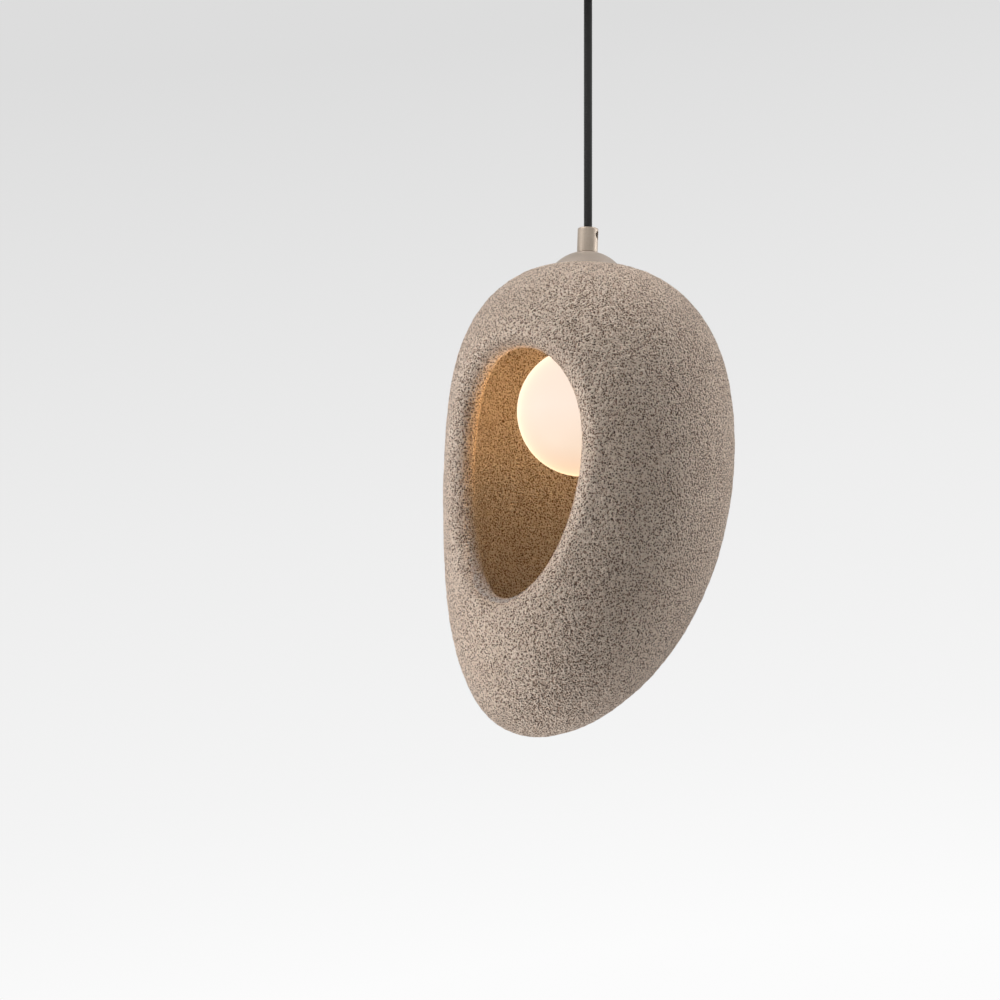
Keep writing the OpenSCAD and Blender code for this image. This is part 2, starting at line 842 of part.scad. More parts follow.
// Leads from the cord's end through the tube to the socket and the earth tag
module lamp_lead(side) {
  hanging()
    lead([
      [side * pair_x, 0, lead_start_z], [side * pair_x, 0, lead_start_z - 20],
      [side * pair_x, 0, tube_bottom_z + 1], [side * pin_x, 0, socket_top_z + 2],
      [side * pin_x, 0, socket_top_z - 2.5]
    ]);
}

module lamp_lead_live() {
  color(live_brown) lamp_lead(-1);
}

module lamp_lead_neutral() {
  color(neutral_blue) lamp_lead(1);
}

module lamp_lead_earth() {
  color(earth_green)
    hanging()
      lead([
        [0, earth_y, lead_start_z], [0, earth_y, lead_start_z - 20], [0, earth_y, tube_bottom_z + 2],
        [0, 5, tube_bottom_z - 3], [0, 10, tube_bottom_z - 1], [0, 14, tube_bottom_z + 4],
        [0, 14.5, tag_z]
      ], [1, 0, 0]);
}

// Threaded ring fixed in the cup, which takes the globe's neck
module globe_ring() {
  color(warm_metal)
    hanging()
      difference() {
        disc(cup_r - cup_wall, ring_bottom_z, ring_h);
        disc(ring_bore_r, ring_bottom_z - 1, ring_h + 2);
        for (turn = ring_turns)
          rotate([0, 0, turn]) rod_x(m3_hole, neck_r - 2, cup_r - neck_r + 2, ring_screw_z);
      }
}

module ring_screws() {
  color(warm_metal)
    hanging()
      for (turn = ring_turns)
        rotate([0, 0, turn])
          difference() {
            union() {
              rod_x(m3_r, ring_screw_x, cup_r - ring_screw_x + ring_head_h / 4, ring_screw_z);
              rod_x(ring_head_r, cup_r, ring_head_h, ring_screw_z);
            }
            driver_slot_x(ring_head_r, cup_r + ring_head_h, ring_screw_z);
          }
}

module globe() {
  color(opal_white)
    hanging()
      difference() {
        union() {
          translate([0, 0, globe_z]) sphere(r = globe_r, $fn = 120);
          disc(neck_r, neck_root_z, neck_top_z - neck_root_z);
        }
        translate([0, 0, globe_z]) sphere(r = globe_r - glass_t, $fn = 120);
        disc(neck_bore_r, neck_bore_z, neck_top_z - neck_bore_z + 1);
      }
}

// --- Bulb -----------------------------------------------------------------------------------
// Each pin is a wire loop: two legs and a round end
module bulb_pins() {
  color(steel_grey)
    hanging()
      for (side = [-1, 1]) {
        for (leg = [-1, 1])
          translate([side * pin_x, leg * pin_gap / 2, bulb_base_top_z])
            cylinder(r = pin_r, h = pin_h - pin_gap / 2);
        translate([side * pin_x, 0, bulb_base_top_z + pin_h - pin_gap / 2])
          rotate([90, 0, 90])
            rotate_extrude(angle = 180) translate([pin_gap / 2, 0]) circle(r = pin_r);
      }
}

module bulb_base() {
  color(block_white)
    hanging()
      union() {
        block([bulb_base_l, bulb_base_w, bulb_base_h], [0, 0, bulb_bottom_z + bulb_base_h / 2]);
        disc(bulb_r - bulb_wall - 0.1, bulb_bottom_z - bulb_plug_h, bulb_plug_h + 0.5);
      }
}

module bulb_board() {
  color(opal_white)
    hanging()
      block([board_w, board_t, board_l], [0, 0, bulb_bottom_z - bulb_plug_h - board_l / 2]);
}

module capsule(r, z, l) {
  disc(r, z - l + r, l - r);
  translate([0, 0, z - l + r]) sphere(r = r);
}

module bulb_envelope() {
  color(opal_white)
    hanging()
      difference() {
        capsule(bulb_r, bulb_bottom_z, bulb_len);
        capsule(bulb_r - bulb_wall, bulb_bottom_z + eps, bulb_len - bulb_wall);
      }
}

ceiling_bracket();
canopy();
canopy_screws();
cord_bush();
bush_nut();
bush_screw();
cord_tail();
canopy_lead_live();
canopy_lead_neutral();
canopy_lead_earth();
terminal_block();
terminal_screws();
block_screw();
earth_screw();
cord();
cord_grip();
grip_screw();
cord_stub();
threaded_tube();
dome_cap();
cap_spacer();
cap_washer();
shade();
clamp_plate();
clamp_nut();
holder_cup();
holder_nut();
earth_tag();
socket_bridge();
socket_body();
socket_contacts();
socket_screws();
lamp_lead_live();
lamp_lead_neutral();
lamp_lead_earth();
globe_ring();
ring_screws();
globe();
bulb_pins();
bulb_base();
bulb_board();
bulb_envelope();
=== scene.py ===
"""Looks of the pendant light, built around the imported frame. Metres, +Z up, opening towards -Y."""

import math

import bmesh
import bpy
import numpy as np
from mathutils import Matrix, Vector


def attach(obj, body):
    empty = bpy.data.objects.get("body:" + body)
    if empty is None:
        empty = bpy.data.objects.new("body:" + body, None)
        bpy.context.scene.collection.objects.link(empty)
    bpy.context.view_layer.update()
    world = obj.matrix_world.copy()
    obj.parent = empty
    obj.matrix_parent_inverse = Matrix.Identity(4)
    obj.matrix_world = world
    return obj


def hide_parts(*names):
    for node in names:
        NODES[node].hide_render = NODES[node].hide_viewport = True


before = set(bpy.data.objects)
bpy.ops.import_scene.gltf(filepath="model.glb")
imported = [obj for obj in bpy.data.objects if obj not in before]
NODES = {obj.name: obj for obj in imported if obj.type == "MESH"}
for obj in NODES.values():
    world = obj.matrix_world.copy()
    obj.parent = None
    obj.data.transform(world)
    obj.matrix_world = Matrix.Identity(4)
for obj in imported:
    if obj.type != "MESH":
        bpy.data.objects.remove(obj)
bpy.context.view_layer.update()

# Sizes and places in the row frame before the lamp's tilt, the same as in the part's source.
# The opening's angles are in degrees
MM = 0.001
CORD_R = 3.2 * MM
CORD_ROUTE = [(0, 0, -33 * MM), (0, 0, -234.7 * MM)]
LAMP_TILT = math.radians(3.2)
TILT_Z = CORD_ROUTE[-1][2]
SHADE_H = 362.3 * MM
SHADE_TOP = -259.7 * MM
HALF_W = np.array([108, 111.5, 102, 154.5]) * MM
SHIFT = np.array([-45, 23, 13.5, 0]) * MM
DEPTH_RATIO = 0.94
WALL, BACK_WALL, RIM = 9 * MM, 18 * MM, 22 * MM
RIM_BLEND_TOP, RIM_BLEND_BOTTOM = 30, 90
OPENING_AXIS, OPENING_SIDE, OPENING_TOP, OPENING_BOTTOM = 8, 38, 33, 38
CAP_SEAT_Z, CAP_SEAT_R = -264.3 * MM, 27 * MM
SEAT_DIP, SEAT_DIP_POWER = 3.7 * MM, 100
BOSS_Z, BOSS_R = -271.4 * MM, 22 * MM
TUBE_HOLE_R = 5.2 * MM
GLOBE_R, GLASS_T, GLOBE_Z = 50 * MM, 3 * MM, -375.7 * MM
NECK_R, NECK_BORE_R, NECK_TOP = 20 * MM, 17 * MM, -313.7 * MM


# --- Camera -------------------------------------------------------------------------------------
CAMERA_AZIMUTH = math.radians(40)
CAMERA_DISTANCE = 1.1625
CAMERA_Z = -0.4436
CAMERA_ASIDE = -0.0682
SENSOR, LENS = 36, 54   # millimetres
RIGHT = Vector((math.cos(CAMERA_AZIMUTH), math.sin(CAMERA_AZIMUTH), 0))
NEAR = Vector((math.sin(CAMERA_AZIMUTH), -math.cos(CAMERA_AZIMUTH), 0))
UP = Vector((0, 0, 1))


def place(right, near, up):
    """A point given by how far it is to the right, towards the viewer and up from the globe."""
    return RIGHT * right + NEAR * near + UP * (GLOBE_Z + up)


def make_camera():
    data = bpy.data.cameras.new("camera")
    data.sensor_width, data.lens = SENSOR, LENS
    camera = add_object("camera", data)
    camera.location = NEAR * CAMERA_DISTANCE + RIGHT * CAMERA_ASIDE + UP * CAMERA_Z
    camera.rotation_mode = "QUATERNION"
    camera.rotation_quaternion = (-NEAR).to_track_quat("-Z", "Y")
    bpy.context.scene.camera = camera


# --- Meshes -------------------------------------------------------------------------------------
def add_object(name, data):
    piece = bpy.data.objects.new(name, data)
    bpy.context.scene.collection.objects.link(piece)
    return piece


def mesh_from(name, points, faces, smooth=True):
    mesh = bpy.data.meshes.new(name)
    mesh.from_pydata(np.asarray(points).tolist(), [], faces)
    mesh.update()
    if smooth:
        mesh.shade_smooth()
    return mesh


def grid_faces(rings, sides, first=0):
    """Quads between rings of points, each with the same number of sides."""
    faces = []
    for a in range(first, first + (rings - 1) * sides, sides):
        for j in range(sides):
            k = (j + 1) % sides
            faces.append((a + j, a + k, a + sides + k, a + sides + j))
    return faces


def rod_faces(rings, sides, first=0):
    """The same with both ends closed."""
    last = first + (rings - 1) * sides
    ends = [tuple(range(first + sides - 1, first - 1, -1)), tuple(range(last, last + sides))]
    return grid_faces(rings, sides, first) + ends


def circle(sides):
    """Angles of equally spaced points round a circle."""
    return 2 * np.pi * np.arange(sides) / sides


def fix_normals(piece):
    """Turns all faces outwards."""
    mesh = bmesh.new()
    mesh.from_mesh(piece.data)
    bmesh.ops.recalc_face_normals(mesh, faces=mesh.faces)
    mesh.to_mesh(piece.data)
    mesh.free()


# --- Node materials -----------------------------------------------------------------------------
def grey(level):
    return (level, level, level)


class Shader:
    """A Principled material with short ways to add and join nodes."""

    def __init__(self, name, roughness=0.5, metallic=0.0, **sockets):
        self.material = bpy.data.materials.new(name)
        self.material.use_nodes = True
        self.tree = self.material.node_tree
        self.principled = self.tree.nodes["Principled BSDF"]
        self.set(Roughness=roughness, Metallic=metallic, **sockets)
        self.at = self.node("ShaderNodeTexCoord").outputs["Object"]

    def set(self, **sockets):
        for name, value in sockets.items():
            self.principled.inputs[name.replace("_", " ")].default_value = value

    def node(self, kind, **inputs):
        made = self.tree.nodes.new(kind)
        for name, value in inputs.items():
            self.put(made.inputs[name.replace("_", " ")], value)
        return made

    def put(self, socket, value):
        if isinstance(value, bpy.types.NodeSocket):
            self.tree.links.new(value, socket)
        else:
            socket.default_value = value

    def noise(self, scale, detail=2.0, roughness=0.5, at=None, distortion=0.0):
        made = self.node("ShaderNodeTexNoise", Vector=at or self.at, Scale=scale,
                         Detail=detail, Roughness=roughness, Distortion=distortion)
        return made.outputs["Fac"]

    def stretched(self, x, y, z):
        made = self.node("ShaderNodeMapping", Vector=self.at, Scale=(x, y, z))
        return made.outputs["Vector"]

    def voronoi(self, scale):
        return self.node("ShaderNodeTexVoronoi", Vector=self.at, Scale=scale).outputs["Distance"]

    def ramp(self, value, *stops):
        """Colours along value. A stop is (position, colour)."""
        made = self.node("ShaderNodeValToRGB", Fac=value)
        points = made.color_ramp.elements
        while len(points) < len(stops):
            points.new(0.5)
        for point, (position, colour) in zip(points, stops):
            point.position = position
            point.color = (*colour, 1)
        return made.outputs["Color"]

    def axis(self, letter):
        """The X, Y or Z coordinate of the point that is shaded."""
        return self.node("ShaderNodeSeparateXYZ", Vector=self.at).outputs[letter]

    def math(self, operation, a, b=0.0, clamp=False):
        made = self.node("ShaderNodeMath")
        made.operation = operation
        made.use_clamp = clamp
        self.put(made.inputs[0], a)
        self.put(made.inputs[1], b)
        return made.outputs[0]

    def vector(self, operation, a, b=(0, 0, 0)):
        """The outputs of a vector operation."""
        made = self.node("ShaderNodeVectorMath")
        made.operation = operation
        self.put(made.inputs[0], a)
        self.put(made.inputs[1], b)
        return made.outputs

    def remap(self, value, low, high, to_low, to_high):
        made = self.node("ShaderNodeMapRange", Value=value, From_Min=low, From_Max=high,
                         To_Min=to_low, To_Max=to_high)
        return made.outputs["Result"]

    def mix(self, factor, a, b, blend="MIX"):
        """Mixes two colours. The node's colour sockets have no names of their own."""
        made = self.node("ShaderNodeMix")
        made.data_type = "RGBA"
        made.blend_type = blend
        self.put(made.inputs[0], factor)
        for socket, value in ((made.inputs[6], a), (made.inputs[7], b)):
            self.put(socket, value if isinstance(value, bpy.types.NodeSocket) else (*value, 1))
        return made.outputs[2]

    def times(self, a, b):
        """One colour multiplied by another."""
        return self.mix(1.0, a, b, "MULTIPLY")

    def blend(self, a, b, share):
        """Two values added, with that share of the first."""
        return self.math("ADD", self.math("MULTIPLY", a, share),
                         self.math("MULTIPLY", b, 1 - share))

    def colour(self, value):
        self.put(self.principled.inputs["Base Color"], value)

    def glow(self, value):
        """Makes the surface shine in that colour at full strength."""
        self.put(self.principled.inputs["Emission Color"], value)
        self.set(Emission_Strength=1.0)

    def roughness(self, value):
        self.put(self.principled.inputs["Roughness"], value)

    def bump(self, height, depth):
        """Relief of that depth, in metres, from a height between 0 and 1."""
        made = self.node("ShaderNodeBump", Height=height, Distance=depth, Strength=1.0)
        self.put(self.principled.inputs["Normal"], made.outputs["Normal"])


# Scales count the grains along a metre. The relief is what the bump node takes, not a real depth
RIDGE_SCALE, PIT_SCALE, PIT_SHARE = 970, 710, 0.8
GRAIN_RELIEF = 4.5 * MM
# Painted shade: far from the globe the hollow's sand is multiplied by this, darker and greyer, where
# less of the globe's warm light falls
PAINTED_SHADE_TINT = (0.68, 0.76, 0.88)
# The painted shade lies in the hollow, where the way from the globe runs against the skin's normal
# by more than this
AGAINST_SKIN, WELL_AGAINST_SKIN = -20 * MM, -60 * MM
BESIDE_GLOBE, FAR_FROM_GLOBE = 80 * MM, 120 * MM


def painted_hollow_shade(s):
    """1 in the hollow away from the globe, where painted shade makes the sand darker and greyer, and
    0 elsewhere.
    """
    away = s.vector("SUBTRACT", s.at, globe_middle())["Vector"]
    normal = s.node("ShaderNodeTexCoord").outputs["Normal"]
    inside = s.remap(s.vector("DOT_PRODUCT", away, normal)["Value"],
                     WELL_AGAINST_SKIN, AGAINST_SKIN, 1, 0)
    far = s.remap(s.vector("LENGTH", away)["Value"], BESIDE_GLOBE, FAR_FROM_GLOBE, 0, 1)
    return s.math("MULTIPLY", inside, far)


def shade_material():
    """Coarse sandy grains: light ridges between small dark pits. Their colour follows the bump's
    height, so it is partly the sand's own speckle, partly painted shade in the pits and painted
    light on the ridges.
    """
    s = Shader("sand_resin", roughness=0.9, Specular_IOR_Level=0.3)
    ridges = s.noise(RIDGE_SCALE, 1.0, 0.5, distortion=0.3)
    pits = s.voronoi(PIT_SCALE)
    height = s.math("ADD", ridges, s.math("MULTIPLY", pits, PIT_SHARE))
    # Painted shade and light: the colour darkens in the bump's low spots and lightens on its ridges,
    # on top of the sand's own speckle
    sand_tone_and_painted_relief = s.ramp(
        s.remap(height, 0.50, 1.15, 0, 1),
        (0.12, (0.05, 0.022, 0.012)), (0.34, (0.31, 0.185, 0.12)),
        (0.50, (0.78, 0.575, 0.445)), (0.72, (1.0, 0.83, 0.69)))
    patches = s.noise(38, 3.0, 0.55)
    tint = s.ramp(patches, (0.3, (0.93, 0.91, 0.90)), (0.7, (1.0, 1.0, 1.0)))
    sand = s.times(sand_tone_and_painted_relief, tint)
    # Painted shade: the hollow's sand is darker and greyer away from the globe, standing in for the
    # globe's warm light fading
    s.colour(s.mix(painted_hollow_shade(s), sand, s.times(sand, PAINTED_SHADE_TINT)))
    s.bump(height, GRAIN_RELIEF)
    return s.material


def opal_material():
    """Etched opal glass that glows, warmer towards its lower half."""
    s = Shader("opal_glass", roughness=0.4, Specular_IOR_Level=0.1)
    cloud = s.math("MULTIPLY", s.noise(22, 2.0), 6 * MM)
    low, high = GLOBE_Z - 49.3 * MM, GLOBE_Z + 5.7 * MM
    level = s.remap(s.math("ADD", s.axis("Z"), cloud), low, high, 0, 1)
    s.colour((0.03, 0.03, 0.03, 1))
    s.glow(s.ramp(level, (0.0, (0.76, 0.52, 0.37)), (0.45, (0.79, 0.64, 0.53)),
                  (1.0, (0.83, 0.71, 0.64))))
    s.bump(s.noise(900, 1.0), 0.02 * MM)
    return s.material


def painted_metal(name, dark, light, metallic, roughness):
    """Fine powder coat on turned metal."""
    s = Shader(name, roughness=roughness, metallic=metallic)
    speckle = s.noise(2200, 2.0, 0.7)
    cloud = s.noise(60, 2.0)
    s.colour(s.ramp(s.blend(speckle, cloud, 0.7), (0.35, dark), (0.65, light)))
    s.roughness(s.remap(cloud, 0.3, 0.7, roughness - 0.05, roughness + 0.05))
    s.bump(speckle, 0.06 * MM)
    return s.material


def brushed_metal(name, dark, light, roughness, along="Z"):
    """Bare metal with fine tool marks along one axis."""
    s = Shader(name, roughness=roughness, metallic=1.0)
    scales = {"X": (60, 3000, 3000), "Z": (3000, 3000, 60)}
    marks = s.noise(1.0, 2.0, 0.6, at=s.stretched(*scales[along]))
    cloud = s.noise(180, 3.0)
    s.colour(s.ramp(cloud, (0.3, dark), (0.7, light)))
    s.roughness(s.remap(marks, 0.2, 0.8, roughness - 0.08, roughness + 0.12))
    s.bump(marks, 0.02 * MM)
    return s.material


def smooth_plastic(name, dark, light, roughness=0.4, scale=300):
    """Moulded plastic, ceramic or insulation with a faint mottle."""
    s = Shader(name, roughness=roughness)
    cloud = s.noise(scale, 3.0)
    s.colour(s.ramp(cloud, (0.3, dark), (0.7, light)))
    s.roughness(s.remap(cloud, 0.3, 0.7, roughness - 0.05, roughness + 0.07))
    s.bump(s.noise(scale * 6, 2.0), 0.03 * MM)
    return s.material


STRIPES = 1500          # radians of the stripe's wave along a metre


def earth_material():
    """Green insulation with a yellow stripe."""
    s = Shader("earth_insulation", roughness=0.4)
    aslant = s.math("ADD", s.axis("X"), s.axis("Y"))
    band = s.math("SINE", s.math("MULTIPLY", aslant, STRIPES))
    s.colour(s.ramp(s.remap(band, -1, 1, 0, 1),
                    (0.42, (0.10, 0.28, 0.035)), (0.58, (0.72, 0.62, 0.04))))
    return s.material


def braid_material():
    """Black rayon yarn with lighter flecks, which are painted glints of the glossy yarn."""
    s = Shader("black_braid", roughness=0.5, Specular_IOR_Level=0.3)
    # Painted highlight: the lighter flecks stand in for glints on the glossy yarn
    painted_glint = s.noise(1500, 2.0, 0.7)
    fibre = s.noise(1.0, 2.0, 0.6, at=s.stretched(7000, 7000, 1200))
    s.colour(s.ramp(s.blend(painted_glint, fibre, 0.6), (0.45, grey(0.006)), (0.60, grey(0.018)),
                    (0.70, grey(0.10))))
    s.bump(fibre, 0.12 * MM)
    return s.material


def board_material():
    """Strips of yellow phosphor on a white circuit board."""
    s = Shader("led_board", roughness=0.45)
    aside = s.math("ABSOLUTE", s.axis("X"))
    uneven = s.math("MULTIPLY", s.noise(900), 0.4 * MM)
    phosphor, white = (0.85, 0.62, 0.12), (0.86, 0.85, 0.82)
    s.colour(s.ramp(s.remap(s.math("ADD", aside, uneven), 0, 5 * MM, 0, 1),
                    (0.10, phosphor), (0.45, phosphor), (0.50, white)))
    s.set(Emission_Color=(1.0, 0.62, 0.30, 1), Emission_Strength=0.4)
    return s.material


def frosted_material():
    """Frosted bulb glass."""
    s = Shader("frosted_glass", roughness=0.5)
    cloud = s.noise(240, 2.0)
    s.colour(s.ramp(cloud, (0.3, (0.80, 0.77, 0.72)), (0.7, (0.88, 0.86, 0.82))))
    s.bump(s.noise(1800, 2.0), 0.04 * MM)
    return s.material


# --- Cord ---------------------------------------------------------------------------------------
STRANDS = 12            # in each direction, one turn in each pitch
BRAID_PITCH = 26 * MM
STRAND_W, STRAND_T = 0.50 * MM, 0.24 * MM
BRAID_WAVE = 0.16 * MM
STEPS_PER_WAVE = 8
STRAND_SIDES = 6
CORE_RINGS, CORE_SIDES = 12, 24


def make_cord():
    """A round braid: strands that wind both ways, over and under each other, on a plain core."""
    top, bottom = (Vector(p) for p in CORD_ROUTE)
    long = (top - bottom).length
    rings = math.ceil(long / (BRAID_PITCH / STRANDS) * STEPS_PER_WAVE)
    s = np.linspace(0, long, rings + 1)
    middle = CORD_R - STRAND_T - BRAID_WAVE / 2
    points, faces = [], []
    corner = circle(STRAND_SIDES)
    for way in (1, -1):
        radius = middle + way * BRAID_WAVE * np.cos(2 * np.pi * STRANDS * s / BRAID_PITCH)
        for k in range(STRANDS):
            angle = way * 2 * np.pi * s / BRAID_PITCH + 2 * np.pi * k / STRANDS
            out = np.stack([np.cos(angle), np.sin(angle), 0 * s], 1)
            side = np.stack([-np.sin(angle), np.cos(angle), 0 * s], 1)
            centre = out * radius[:, None] + np.stack([0 * s, 0 * s, top.z - s], 1)
            ring = (centre[:, None]
                    + STRAND_T * np.cos(corner)[None, :, None] * out[:, None]
                    + STRAND_W * np.sin(corner)[None, :, None] * side[:, None])
            faces += rod_faces(rings + 1, STRAND_SIDES, len(points))
            points += ring.reshape(-1, 3).tolist()
    faces += rod_faces(CORE_RINGS, CORE_SIDES, len(points))
    core = middle - BRAID_WAVE
    points += [(core * math.cos(a), core * math.sin(a), z)
               for z in np.linspace(top.z, bottom.z, CORE_RINGS) for a in circle(CORE_SIDES)]
    piece = add_object("braided_cord", mesh_from("braided_cord", points, faces))
    piece.data.materials.append(braid_material())
    fix_normals(piece)
    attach(piece, "cord")
    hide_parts("cord")


# --- Shade --------------------------------------------------------------------------------------
MERIDIANS = 600
OUTER_RINGS, RIM_RINGS, INNER_RINGS = 250, 26, 210
INNER_POLE = 179.8      # just off the pole, where the skin has no direction
SEAT_BLEND, BOSS_BLEND = 3 * MM, 4 * MM


def bezier(c, t):
    """The cubic through the first and last of four numbers, drawn towards the others."""
    return (c[0] * (1 - t) ** 3 + 3 * c[1] * t * (1 - t) ** 2
            + 3 * c[2] * t * t * (1 - t) + c[3] * t ** 3)


def smooth(x):
    """Rises from 0 to 1 with no corner."""
    x = np.clip(x, 0, 1)
    return x * x * (3 - 2 * x)


def unit(a):
    return a / np.linalg.norm(a, axis=-1, keepdims=True)


def outer_point(theta, v):
    """Outer skin. theta is the angle from the opening's axis, v the angle round it, in degrees."""
    theta, v, axis = np.radians(theta), np.radians(v), math.radians(OPENING_AXIS)
    forward = np.array([0, -math.cos(axis), math.sin(axis)])
    upward = np.array([0, math.sin(axis), math.cos(axis)])
    d = (np.cos(theta)[..., None] * forward
         + (np.sin(theta) * np.sin(v))[..., None] * np.array([1.0, 0, 0])
         + (np.sin(theta) * np.cos(v))[..., None] * upward)
    t = (d[..., 2] + 1) / 2
    w = bezier(HALF_W, t)
    return np.stack([w * d[..., 0], bezier(SHIFT, t) + DEPTH_RATIO * w * d[..., 1],
                     SHADE_TOP - SHADE_H + SHADE_H * t], -1)


def skin_point(theta, v):
    """The outer skin, flattened around the cap."""
    points = outer_point(theta, v)
    t = (points[..., 2] - SHADE_TOP) / SHADE_H + 1
    points[..., 2] -= SEAT_DIP * t ** SEAT_DIP_POWER
    return points


def rim_angle(v):
    """The angle from the opening's axis at which the rim starts: a half oval above and below."""
    a = np.radians(v)
    height = np.where(np.cos(a) >= 0, OPENING_TOP, OPENING_BOTTOM)
    return 1 / np.hypot(np.sin(a) / OPENING_SIDE, np.cos(a) / height)


def skin_directions(theta, v):
    """Unit vectors along the skin towards the opening and out of the skin."""
    step = 0.1
    towards = unit(outer_point(theta - step, v) - outer_point(theta + step, v))
    across = outer_point(theta, v + step) - outer_point(theta, v - step)
    return towards, unit(np.cross(towards, across))


def inner_point(theta, v):
    """The hollow's face: thick at the rim, thin at the sides and thicker again at the back."""
    blend = RIM_BLEND_TOP + (RIM_BLEND_BOTTOM - RIM_BLEND_TOP) * (1 - np.cos(np.radians(v))) / 2
    wall = (WALL + (RIM - WALL) * smooth(1 - (theta - rim_angle(v)) / blend)
            + (BACK_WALL - WALL) * smooth((theta - 90) / 90))
    return outer_point(theta, v) - skin_directions(theta, v)[1] * wall[..., None]


def rim_point(a, v):
    """The half-round rim. a runs from 0 at the outer skin to 180 at the hollow's face."""
    theta = rim_angle(v)
    towards, outward = skin_directions(theta, v)
    a = np.radians(a)[..., None]
    r = RIM / 2
    return outer_point(theta, v) - outward * r + r * (outward * np.cos(a) + towards * np.sin(a))


def flatten(points, above, z, radius, blend):
    """Moves points above a height and near the lamp's axis to a level face with a soft edge."""
    share = smooth((radius + blend - np.hypot(points[:, 0], points[:, 1])) / blend)
    share[points[:, 2] <= above] = 0
    points[:, 2] += share * (z - points[:, 2])


def tilted(points):
    """From the lamp's upright frame to the row frame."""
    turn = np.array(Matrix.Rotation(-LAMP_TILT, 3, "X"))
    pivot = np.array([0, 0, TILT_Z])
    return (points - pivot) @ turn.T + pivot


def shade_mesh():
    """The skin as one closed grid: from the back pole over the rim to the inner back pole."""
    v = (360 / MERIDIANS) * np.arange(MERIDIANS)[None, :]
    steps = np.arange(1, OUTER_RINGS + 1)[:, None] / OUTER_RINGS
    outer = skin_point(180 - (180 - rim_angle(v)) * steps, v + 0 * steps).reshape(-1, 3)
    turn = 180 * np.arange(1, RIM_RINGS + 1)[:, None] / RIM_RINGS
    rim = rim_point(turn + 0 * v, v + 0 * turn).reshape(-1, 3)
    steps = np.arange(INNER_RINGS - 1, 0, -1)[:, None] / INNER_RINGS
    inner = inner_point(180 - (180 - rim_angle(v)) * steps, v + 0 * steps).reshape(-1, 3)
    flatten(outer, SHADE_TOP - 20 * MM, CAP_SEAT_Z, CAP_SEAT_R, SEAT_BLEND)
    flatten(inner, SHADE_TOP - 40 * MM, BOSS_Z, BOSS_R, BOSS_BLEND)
    outer_pole = skin_point(np.array([180.0]), np.array([0.0]))
    inner_pole = inner_point(np.array([INNER_POLE]), np.array([0.0]))
    points = np.concatenate([outer_pole, outer, rim, inner, inner_pole])
    rings = OUTER_RINGS + RIM_RINGS + INNER_RINGS - 1
    faces = grid_faces(rings, MERIDIANS, 1)
    last = len(points) - 1
    ring = last - MERIDIANS
    for j in range(MERIDIANS):
        k = (j + 1) % MERIDIANS
        faces.append((0, 1 + k, 1 + j))
        faces.append((last, ring + j, ring + k))
    return mesh_from("shade_shell", tilted(points), faces)


def globe_middle():
    return tilted(np.array([[0, 0, GLOBE_Z]]))[0].tolist()


def tube_drill():
    """A closed cylinder on the lamp's axis, through the top of the shade."""
    a = circle(64)
    ring = np.stack([TUBE_HOLE_R * np.cos(a), TUBE_HOLE_R * np.sin(a), 0 * a], 1)
    points = np.concatenate([ring + [0, 0, BOSS_Z - 5 * MM], ring + [0, 0, SHADE_TOP + 5 * MM]])
    mesh = mesh_from("drill", tilted(points), rod_faces(2, len(a)), smooth=False)
    return add_object("drill", mesh)


def apply_modifiers(piece):
    graph = bpy.context.evaluated_depsgraph_get()
    mesh = bpy.data.meshes.new_from_object(piece.evaluated_get(graph), depsgraph=graph)
    piece.modifiers.clear()
    old, piece.data = piece.data, mesh
    bpy.data.meshes.remove(old)


def lattice_noise(points, size, seed):
    """Smooth noise of zero mean between -1 and 1, with lumps of about that size."""
    cell = points / size
    low = np.floor(cell.min(0)).astype(int)
    steps = np.ceil(cell.max(0)).astype(int) - low + 2
    values = np.random.default_rng(seed).uniform(-1, 1, steps)
    cell = cell - low
    at = np.floor(cell).astype(int)
    part = smooth(cell - at)
    total = np.zeros(len(points))
    for corner in np.ndindex(2, 2, 2):
        share = np.prod(np.where(corner, part, 1 - part), axis=1)
        total += share * values[tuple((at + corner).T)]
    return total


# Size and height of the lumps, from large to small
RELIEF = ((48 * MM, 0.25 * MM), (8 * MM, 0.16 * MM), (3.1 * MM, 0.30 * MM))


def roughen(piece):
    """Moves the skin along its normals, less and less towards the turned seats of the cap."""
    mesh = piece.data
    co = np.zeros(len(mesh.vertices) * 3)
    normal = np.zeros(len(mesh.vertices) * 3)
    mesh.vertices.foreach_get("co", co)
    mesh.vertex_normals.foreach_get("vector", normal)
    co, normal = co.reshape(-1, 3), normal.reshape(-1, 3)
    share = smooth((np.hypot(co[:, 0], co[:, 1]) - CAP_SEAT_R) / (5 * MM))
    share[co[:, 2] < BOSS_Z - 30 * MM] = 1      # well below both seats
    move = sum(depth * lattice_noise(co, size, seed)
               for seed, (size, depth) in enumerate(RELIEF))
    mesh.vertices.foreach_set("co", (co + normal * (share * move)[:, None]).ravel())
    mesh.update()


def make_shade():
    piece = add_object("shade_shell", shade_mesh())
    drill = tube_drill()
    cut = piece.modifiers.new("tube_hole", "BOOLEAN")
    cut.operation, cut.object, cut.solver = "DIFFERENCE", drill, "MANIFOLD"
    apply_modifiers(piece)
    bpy.data.objects.remove(drill)
    roughen(piece)
    piece.data.materials.clear()        # the cut leaves an empty slot
    piece.data.materials.append(shade_material())
    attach(piece, "lamp")
    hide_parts("shade")


# --- Globe --------------------------------------------------------------------------------------
GLOBE_SIDES = 160
OUTER_STEPS, NECK_STEPS, LIP_STEPS, INNER_STEPS = 90, 28, 10, 70
POLE_GAP = 0.012        # radians from the pole at which the glass closes with a flat face
LIP_H = 1 * MM
THREAD_PITCH = 4.5 * MM
THREAD_DEPTH = 0.9 * MM


